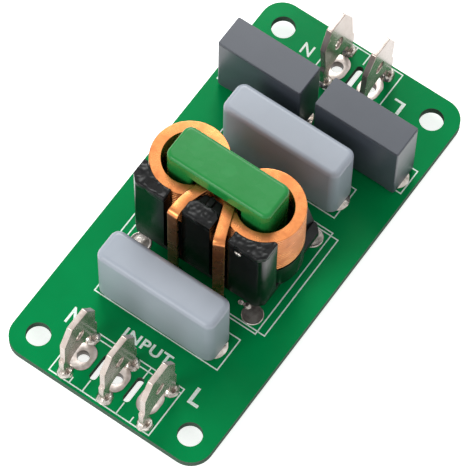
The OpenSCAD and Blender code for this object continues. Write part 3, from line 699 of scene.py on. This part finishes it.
# Inside radius of an end's bend, the space between a coil and a leg's corner, and the
# radius of that corner
LEAD_BEND = 0.35
COIL_CLEAR = 0.45
CORE_EDGE = 0.7
COIL_IN = math.hypot(LEG_W / 2 - CORE_EDGE,
                     (CORE_HIGH.y - CORE_LOW.y) / 2 - CORE_EDGE) + CORE_EDGE + COIL_CLEAR
COIL_OUT = COIL_IN + WIRE_W
COIL_MID = (COIL_IN + COIL_OUT) / 2
COIL_H = (TURNS + RUN_OFF / 180) * TURN_PITCH + WIRE_T
COIL_Z = CORE_LOW.z - BOARD_TOP + YOKE_H + COIL_HEAD
COIL_TOP = COIL_Z + COIL_H
# From a lead's middle to the edge of its solder
JOINT_R = 1.05
LEADS_LOW, LEADS_HIGH = node_box("choke_solder")
LEAD_Y = (LEADS_HIGH.y - LEADS_LOW.y) / 2 - JOINT_R
LEAD_X = (CHOKE.x - LEADS_LOW.x - JOINT_R, LEADS_HIGH.x - CHOKE.x - JOINT_R)
# How far inside its hole the lower end of a coil turns down
LOW_LEAD_LEAN = 0.7
# Heights above the board of the base's plate and of its front posts
PLATE_TOP = 4.3
POST_TOP = COIL_TOP + 0.3
POST_FRONT_Y = -9.22
SPARE_R = 1.5


def choke_core():
    """A closed rectangular ring, its upright corners rounder than its other edges."""
    bm = bmesh.new()
    block(bm, CORE_LOW, CORE_HIGH)
    for co, no in (((CORE_LOW.x + LEG_W, 0, 0), (1, 0, 0)),
                   ((CORE_HIGH.x - LEG_W, 0, 0), (1, 0, 0)),
                   ((0, 0, CORE_LOW.z + YOKE_H), (0, 0, 1)),
                   ((0, 0, CORE_HIGH.z - YOKE_H), (0, 0, 1))):
        bmesh.ops.bisect_plane(bm, geom=bm.verts[:] + bm.edges[:] + bm.faces[:],
                               plane_co=co, plane_no=no)
    centre = (CORE_LOW + CORE_HIGH) / 2
    window = [f for f in bm.faces if abs(f.normal.y) > 0.9
              and (f.calc_center_median() - centre).xz.length < 0.5]
    rim = [e for f in window for e in f.edges]
    bmesh.ops.delete(bm, geom=window, context="FACES_ONLY")
    bmesh.ops.bridge_loops(bm, edges=rim)
    bmesh.ops.dissolve_limit(bm, angle_limit=0.01, verts=bm.verts, edges=bm.edges)
    uprights = [e for e in sharp_edges(bm, 40) if is_upright(e)
                and abs(e.verts[0].co.x - centre.x) > (CORE_HIGH.x - CORE_LOW.x) / 2 - 0.01]
    soften(bm, uprights, CORE_UPRIGHT_R, 7)
    soften(bm, sharp_edges(bm, 40), CORE_EDGE_R, 5)
    return make_piece("choke_ring_core", bm, FERRITE, ("choke_core",),
                      crease=35)


def wire_frame(centre, width, up):
    """The wire's section as a matrix: across its width, through its thickness, along it."""
    width, up = width.normalized(), up.normalized()
    along = width.cross(up)
    return Matrix(((width.x, up.x, along.x, centre.x), (width.y, up.y, along.y, centre.y),
                   (width.z, up.z, along.z, centre.z), (0, 0, 0, 1)))


# Sections in a wire's run-off, in its bend and in one turn
RUN_OFF_STEPS = 16
BEND_STEPS = 8
STEPS_A_TURN = 64


def run_off(side, level, x_end, out):
    """Sections of a wire's end, from the coil out between the posts and down into the board."""
    angle = math.radians(180 - side * RUN_OFF)
    start = Vector((COIL_X + COIL_MID * math.cos(angle), COIL_MID * math.sin(angle), level))
    into = Vector((-math.sin(angle), math.cos(angle), 0)) * -side
    out = Vector((out[0], side * out[1], 0)).normalized()
    across = Vector((-side * out.y, side * out.x, 0))
    bend = LEAD_BEND + WIRE_T / 2
    lean = LOW_LEAD_LEAN if side > 0 else 0
    foot = Vector((x_end, side * LEAD_Y, level))
    turn = foot - Vector((0, side * lean, 0)) - out * bend
    reach = (turn - start).length
    up = Vector((0, 0, 1))
    sections = []
    # A smooth curve that starts along the coil and ends straight, at the turn
    for i in range(1, RUN_OFF_STEPS + 1):
        t = i / RUN_OFF_STEPS
        spot = (start * (2 * t ** 3 - 3 * t ** 2 + 1) + into * reach * (t ** 3 - 2 * t ** 2 + t)
                + turn * (3 * t ** 2 - 2 * t ** 3) + out * reach * (t ** 3 - t ** 2))
        slope = (start * (6 * t ** 2 - 6 * t) + into * reach * (3 * t ** 2 - 4 * t + 1)
                 + turn * (6 * t - 6 * t ** 2) + out * reach * (3 * t ** 2 - 2 * t))
        sections.append((spot, Vector((-side * slope.y, side * slope.x, 0)), up))
    for i in range(BEND_STEPS + 1):
        b = math.radians(90 * i / BEND_STEPS)
        sections.append((turn + out * bend * math.sin(b) - up * bend * (1 - math.cos(b)),
                         across, out * math.sin(b) + up * math.cos(b)))
    for height in (PLATE_TOP + WIRE_T, -BOARD_TOP):
        sections.append((Vector((foot.x, foot.y, height)), across, out))
    return [wire_frame(*s) for s in sections]


def choke_winding(name, x_end, leaving, mirrored):
    """Flat wire wound on edge: its rounded section is spun up the coil turn by turn."""
    bm = bmesh.new()
    section = bmesh.ops.create_grid(bm, x_segments=1, y_segments=1, size=0.5)["verts"]
    bmesh.ops.scale(bm, vec=(WIRE_W, WIRE_T - WIRE_RELIEF, 1), verts=section)
    bmesh.ops.bevel(bm, geom=section, offset=WIRE_R, segments=3, profile=0.5,
                    affect="VERTICES", clamp_overlap=True, material=-1)
    bmesh.ops.delete(bm, geom=bm.faces[:], context="FACES_ONLY")
    start = math.radians(180 - RUN_OFF)
    out = Vector((math.cos(start), math.sin(start), 0))
    low = COIL_Z + WIRE_T / 2
    first = wire_frame(Vector((COIL_X, 0, low)) + out * COIL_MID, out, Vector((0, 0, 1)))
    bmesh.ops.transform(bm, matrix=first, verts=bm.verts)
    opening = bm.verts[:] + bm.edges[:]
    steps = TURNS * STEPS_A_TURN + STEPS_A_TURN // 8
    sweep = math.radians(360 * TURNS + 2 * RUN_OFF)
    spun = bmesh.ops.spin(bm, geom=opening, cent=(COIL_X, 0, 0), axis=(0, 0, 1),
                          angle=sweep, steps=steps, dvec=(0, 0, (COIL_H - WIRE_T) / steps),
                          use_duplicate=False)
    closing = [g for g in spun["geom_last"] if isinstance(g, bmesh.types.BMEdge)]
    opening = [g for g in opening if isinstance(g, bmesh.types.BMEdge)]
    last_angle = start + sweep
    last_out = Vector((math.cos(last_angle), math.sin(last_angle), 0))
    last = wire_frame(Vector((COIL_X, 0, low + COIL_H - WIRE_T)) + last_out * COIL_MID,
                      last_out, Vector((0, 0, 1)))
    ends = ((opening, first, run_off(1, low, x_end, (0, 1))),
            (closing, last, run_off(-1, low + COIL_H - WIRE_T, x_end, leaving)))
    for edges, here, path in ends:
        for there in path:
            grown = bmesh.ops.extrude_edge_only(bm, edges=edges)["geom"]
            edges = [g for g in grown if isinstance(g, bmesh.types.BMEdge)]
            bmesh.ops.transform(bm, matrix=there @ here.inverted(),
                                verts=[g for g in grown if isinstance(g, bmesh.types.BMVert)])
            here = there
        bmesh.ops.edgeloop_fill(bm, edges=edges)
    if mirrored:
        bmesh.ops.scale(bm, vec=(-1, 1, 1), verts=bm.verts)
    bmesh.ops.translate(bm, vec=CHOKE, verts=bm.verts)
    return make_piece(name + "_coil", bm, COPPER, (name,), crease=50)


# The mould's small radius, the depth of glue on a post, and the grain it is built in
BASE_R = 0.16
GLUE_DEPTH = 1.1
GLUE_GRAIN = 0.11
# The wedge of glue: how far forward of the choke's middle it begins and ends, its half
# width there, and how far it reaches below the glue on the posts and the coils' tops
WEDGE_FRONT = 4.5
WEDGE_BACK = 2.75
WEDGE_HALF_FRONT = 1.95
WEDGE_HALF_BACK = 1.25
WEDGE_DEPTH = 2.5
WEDGE_DROP = 0.5


def choke_base():
    """The moulding itself, with the small radii of its mould."""
    bm = node_copy("choke_base")
    soften(bm, sharp_edges(bm, 50), BASE_R, 2)
    return make_piece("choke_base_moulding", bm, PHENOLIC, ("choke_base",),
                      crease=40)


def post_glue():
    """Epoxy run over the tops of the front posts, frozen in lumps."""
    bm = node_copy("choke_base")
    cut = BOARD_TOP + POST_TOP - GLUE_DEPTH
    bmesh.ops.bisect_plane(bm, geom=bm.verts[:] + bm.edges[:] + bm.faces[:],
                           plane_co=(0, 0, cut), plane_no=(0, 0, -1), clear_outer=True)
    bmesh.ops.holes_fill(bm, edges=bm.edges, sides=0)
    # The epoxy also fills the wedge between the two coils behind the middle post
    wedge = block(bm, (CHOKE.x - 1, CHOKE.y - WEDGE_FRONT, cut - WEDGE_DEPTH),
                  (CHOKE.x + 1, CHOKE.y - WEDGE_BACK, BOARD_TOP + COIL_TOP - WEDGE_DROP))
    middle = CHOKE.y - (WEDGE_FRONT + WEDGE_BACK) / 2
    for v in wedge:
        half = WEDGE_HALF_FRONT if v.co.y < middle else WEDGE_HALF_BACK
        v.co.x = CHOKE.x + (v.co.x - CHOKE.x) * half
    bmesh.ops.triangulate(bm, faces=bm.faces)
    raw = bpy.data.meshes.new("post_glue_raw")
    bm.to_mesh(raw)
    bm.free()
    holder = bpy.data.objects.new("post_glue_raw", raw)
    bpy.context.scene.collection.objects.link(holder)
    remesh = holder.modifiers.new("voxels", "REMESH")
    remesh.mode = "VOXEL"
    remesh.voxel_size = GLUE_GRAIN
    bpy.context.view_layer.update()
    grown = bpy.data.meshes.new_from_object(
        holder.evaluated_get(bpy.context.evaluated_depsgraph_get()))
    bpy.data.objects.remove(holder)
    bm = bmesh.new()
    bm.from_mesh(grown)
    bmesh.ops.smooth_vert(bm, verts=bm.verts, factor=0.6, use_axis_x=True, use_axis_y=True,
                          use_axis_z=True)
    bm.normal_update()
    for v in bm.verts:
        rise = min(1, max(0.2, (v.co.z - cut) / 0.9))
        lump = 0.6 * noise.noise(v.co * 0.9) + 0.3 * noise.noise(v.co * 2.2)
        v.co += v.normal * (0.03 + 0.2 * lump) * rise
    return make_piece("choke_post_glue", bm, GLUE, crease=60, even=False)


# The solder's face in an empty hole, as (radius, height) from its middle to under its rim
FILLED_HOLE = (
    (0, 0.08), (0.5, 0.085), (1.0, 0.06), (1.2, 0.09), (1.32, 0.15), (1.4, 0.14),
    (1.45, 0.06), (1.45, -0.03), (0.6, -0.03))
# Chance marks of solder at the right front post: x, y, radius and height of each drop
# at its foot, and x, z and radius of each on its front
FOOT_DROPS = ((6.4, -8.5, 0.45, 0.4), (7.3, -8.4, 0.55, 0.35))
SPLASH = ((6.1, 17.95, 0.3), (6.42, 18.05, 0.26), (5.85, 18.12, 0.14), (6.3, 17.72, 0.2))


def spare_pads(places):
    """Holes of the larger footprint, filled level with solder that stands up at the rim."""
    under = [(r, BOARD_BOTTOM - BOARD_TOP - z) for r, z in reversed(FILLED_HOLE)]
    shape = list(FILLED_HOLE) + under
    bm = bmesh.new()
    for i, (x, y) in enumerate(places):
        verts = turned(bm, shape, 48)
        for v in verts:
            v.co.z += 0.02 * noise.noise(v.co * 1.2 + Vector((i * 2.3, 0, 0)))
        bmesh.ops.translate(bm, vec=(x, y, BOARD_TOP), verts=verts)
    return make_piece("spare_pads_filled", bm, FLUXED, ("spare_choke_pads",),
                      crease=60)


def spare_pad_drops():
    """Drops of solder and flux at the foot of the right front post."""
    bm = bmesh.new()
    for x, y, r, tall in FOOT_DROPS:
        drop = bmesh.ops.create_icosphere(bm, subdivisions=4, radius=1)["verts"]
        for v in drop:
            v.co *= 1 + 0.25 * noise.noise(v.co * 1.6 + Vector((x, y, 0)))
            v.co = Vector((x + v.co.x * r, y + v.co.y * r * 0.8,
                           BOARD_TOP + max(v.co.z, -0.1) * tall))
    return make_piece("spare_pad_drops", bm, FLUXED, crease=60, even=False)


def post_splash():
    """A splash of solder that froze on the front of the right post, near its top."""
    bm = bmesh.new()
    for x, z, r in SPLASH:
        drop = bmesh.ops.create_icosphere(bm, subdivisions=3, radius=1)["verts"]
        for v in drop:
            v.co *= 1 + 0.3 * noise.noise(v.co * 1.3 + Vector((x, z, 0)) * 3)
            v.co = Vector((x + v.co.x * r, POST_FRONT_Y + v.co.y * r * 0.5, z + v.co.z * r))
    return make_piece("post_splash", bm, SOLDER, crease=60, even=False)


# ---------- The filter ----------

keep_node("circuit_board", BOARD)
board_legend()
# Each word's middle, width and height on the board, and the weight added to its strokes
legend_word("legend_input", "INPUT", (0.52, -20.04), 7.05, 1.5, 0.026, spacing=1.12)
legend_word("legend_neutral_in", "N", (-9.15, -22.05), 1.65, 2.4, 0.02)
legend_word("legend_live_in", "L", (9.45, -22.05), 1.55, 2.4, 0.02)
legend_word("legend_neutral_out", "N", (-7.12, 25.6), 1.5, 1.7, 0.015, math.pi)
legend_word("legend_live_out", "L", (6.85, 25.45), 1.6, 1.9, 0.015, math.pi)

wire_pads("input_wire_pads", [(INPUT_PADS_X + i * WIRE_PITCH, -PAD_Y) for i in (-1, 0, 1)])
wire_pads("output_wire_pads", [(i * WIRE_PITCH / 2, PAD_Y) for i in (-1, 1)])

legs = {"input": [], "output": []}
# How far each tip is from where the plain node has it: bent in X and Y, higher in Z
TABS = {
    "input_tab_neutral": (0, 0.2, 0), "input_tab_earth": (0, 0.1, 0),
    "input_tab_live": (0.05, 0.1, 0), "output_tab_neutral": (-0.5, 0.15, 0.7),
    "output_tab_live": (0.05, 0.45, 0.8),
}
for node, lean in TABS.items():
    quick_connect_tab(node, lean)
    low, high = node_box(node)
    x, y = (low.x + high.x) / 2, (low.y + high.y) / 2
    legs[node.split("_")[0]] += [(x, y - TAB_LEG_PITCH / 2), (x, y + TAB_LEG_PITCH / 2)]
for end, places in legs.items():
    solder_joints(f"{end}_tab_solder", places, radius=1.0, height=0.85, cone=1.05, tip=0.5,
                  pit=(0.5, -0.05))

# Finish and slot of each case, radius of its upright and top edges, depth of its lip
CASES = {
    "input_capacitor": (LIGHT_CASE, "light_grey_case", 1.2, 0.8, 0),
    "output_capacitor": (LIGHT_CASE, "light_grey_case", 1.2, 0.8, 0),
    "neutral_y_capacitor": (DARK_CASE, "dark_grey_case", 0.25, 0.13, 0.2),
    "live_y_capacitor": (DARK_CASE, "dark_grey_case", 0.25, 0.13, 0.2),
}
lead_places = []
for node, (finish, slot, upright_r, top_r, lip) in CASES.items():
    capacitor_case(node + "_case", finish, upright_r, top_r, lip)
    keep_node(node + "_resin", RESIN)
    keep_node(node + "_film", FILM)
    keep_node(node + "_leads", TIN)
    low, high = node_box(node + "_leads")
    inset = (high.y - low.y) / 2
    lead_places += [(low.x + inset, (low.y + high.y) / 2), (high.x - inset, (low.y + high.y) / 2)]
solder_joints("capacitor_solder", lead_places, radius=1.6, height=0.4, cone=1.05, tip=0.45)

choke_core()
choke_winding("choke_winding_live", LEAD_X[1], (0.41, 0.91), False)
choke_winding("choke_winding_neutral", LEAD_X[0], (0, 1), True)
choke_base()
post_glue()
choke_leads = [(CHOKE.x + side * x, CHOKE.y + s * LEAD_Y)
               for side, x in ((-1, LEAD_X[0]), (1, LEAD_X[1])) for s in (-1, 1)]
solder_joints("choke_solder", choke_leads, radius=1.0, height=0.8, cone=1.05, tip=0.8)
spare_low, spare_high = node_box("spare_choke_pads")
spare = [(x, y) for x in (spare_low.x + SPARE_R, spare_high.x - SPARE_R)
         for y in (spare_low.y + SPARE_R, spare_high.y - SPARE_R)]
spare_pads(spare)
spare_pad_drops()
post_splash()

# ---------- Floor, light and camera ----------

# Half the table's side in metres, its drop under the lead tips in millimetres, and the
# glow that makes it look white where no shadow lies
FLOOR_HALF = 3
FLOOR_DROP = 0.02
FLOOR_GLOW = 0.75
# Strength of the walls as light, and as they look
WALL_LIGHT = 0.5
WALL_LOOK = 1.0


def seen_directly(tree):
    """1 to the camera, in reflections and through clear parts, and 0 to all other rays."""
    path = add_node(tree, "ShaderNodeLightPath")
    seen = add_node(tree, "ShaderNodeMath", {
        0: path.outputs["Is Camera Ray"], 1: path.outputs["Is Glossy Ray"]},
        operation="MAXIMUM")
    return add_node(tree, "ShaderNodeMath", {
        0: seen.outputs[0], 1: path.outputs["Is Transmission Ray"]},
        operation="MAXIMUM").outputs[0]


def make_world():
    """White walls, dimmer as light than as they look, so the key lamp gives the form."""
    world = bpy.data.worlds.new("studio")
    bpy.context.scene.world = world
    world.use_nodes = True
    tree = world.node_tree
    strength = add_node(tree, "ShaderNodeMapRange", {
        "Value": seen_directly(tree), "To Min": WALL_LIGHT, "To Max": WALL_LOOK})
    tree.links.new(strength.outputs["Result"], tree.nodes["Background"].inputs["Strength"])
    tree.nodes["Background"].inputs["Color"].default_value = (1, 1, 1, 1)


def make_floor():
    """A wide white table, lit evenly, that keeps the filter's shadow."""
    bm = bmesh.new()
    bmesh.ops.create_grid(bm, x_segments=1, y_segments=1, size=FLOOR_HALF)
    bmesh.ops.translate(bm, vec=(0, 0, -FLOOR_DROP * MM), verts=bm.verts)
    mesh = bpy.data.meshes.new("table")
    bm.to_mesh(mesh)
    bm.free()
    material = bpy.data.materials.new("white_table")
    material.use_nodes = True
    tree = material.node_tree
    shader = tree.nodes["Principled BSDF"]
    shader.inputs["Base Color"].default_value = linear("#f0f0f0")
    shader.inputs["Roughness"].default_value = 0.9
    shader.inputs["Specular IOR Level"].default_value = 0.0
    shader.inputs["Emission Color"].default_value = (1, 1, 1, 1)
    glow = add_node(tree, "ShaderNodeMath", {0: seen_directly(tree), 1: FLOOR_GLOW},
                    operation="MULTIPLY")
    tree.links.new(glow.outputs[0], shader.inputs["Emission Strength"])
    mesh.materials.append(material)
    table = bpy.data.objects.new("table", mesh)
    bpy.context.scene.collection.objects.link(table)


def add_softbox(name, place, size, power):
    """An area lamp that faces the middle of the board; place is in millimetres."""
    lamp = bpy.data.lights.new(name, "AREA")
    lamp.shape = "DISK"
    lamp.size = size * MM
    lamp.energy = power
    box = bpy.data.objects.new(name, lamp)
    box.location = Vector(place) * MM
    box.rotation_mode = "QUATERNION"
    box.rotation_quaternion = (-box.location).to_track_quat("-Z", "Y")
    bpy.context.scene.collection.objects.link(box)


# The camera's place round the board, with lengths in millimetres
AZIMUTH = math.radians(33.76)
ELEVATION = math.radians(64.65)
ROLL = math.radians(1.553)
LOOK_AT = Vector((0.478, -1.33, 2.8))
DISTANCE = 441.8
LENS = 270.2
SENSOR = 36


def make_camera():
    """A long lens from high above the front right, turned a little about its own axis."""
    data = bpy.data.cameras.new("camera")
    data.sensor_width = SENSOR
    data.lens = LENS
    data.clip_start = 0.01
    data.clip_end = 20
    back = Vector((math.sin(AZIMUTH) * math.cos(ELEVATION),
                   -math.cos(AZIMUTH) * math.cos(ELEVATION), math.sin(ELEVATION)))
    level = Vector((math.cos(AZIMUTH), math.sin(AZIMUTH), 0))
    up = back.cross(level)
    right = level * math.cos(ROLL) + up * math.sin(ROLL)
    up = back.cross(right)
    camera = bpy.data.objects.new("camera", data)
    camera.matrix_world = Matrix((
        (right.x, up.x, back.x, 0), (right.y, up.y, back.y, 0),
        (right.z, up.z, back.z, 0), (0, 0, 0, 1)))
    camera.location = (LOOK_AT + back * DISTANCE) * MM
    bpy.context.scene.collection.objects.link(camera)
    bpy.context.scene.camera = camera


make_world()
make_floor()
add_softbox("key", (-300, 430, 520), size=360, power=3.2)
add_softbox("front", (-160, -580, 380), size=460, power=2.3)
make_camera()
bpy.context.scene.view_settings.view_transform = "Standard"
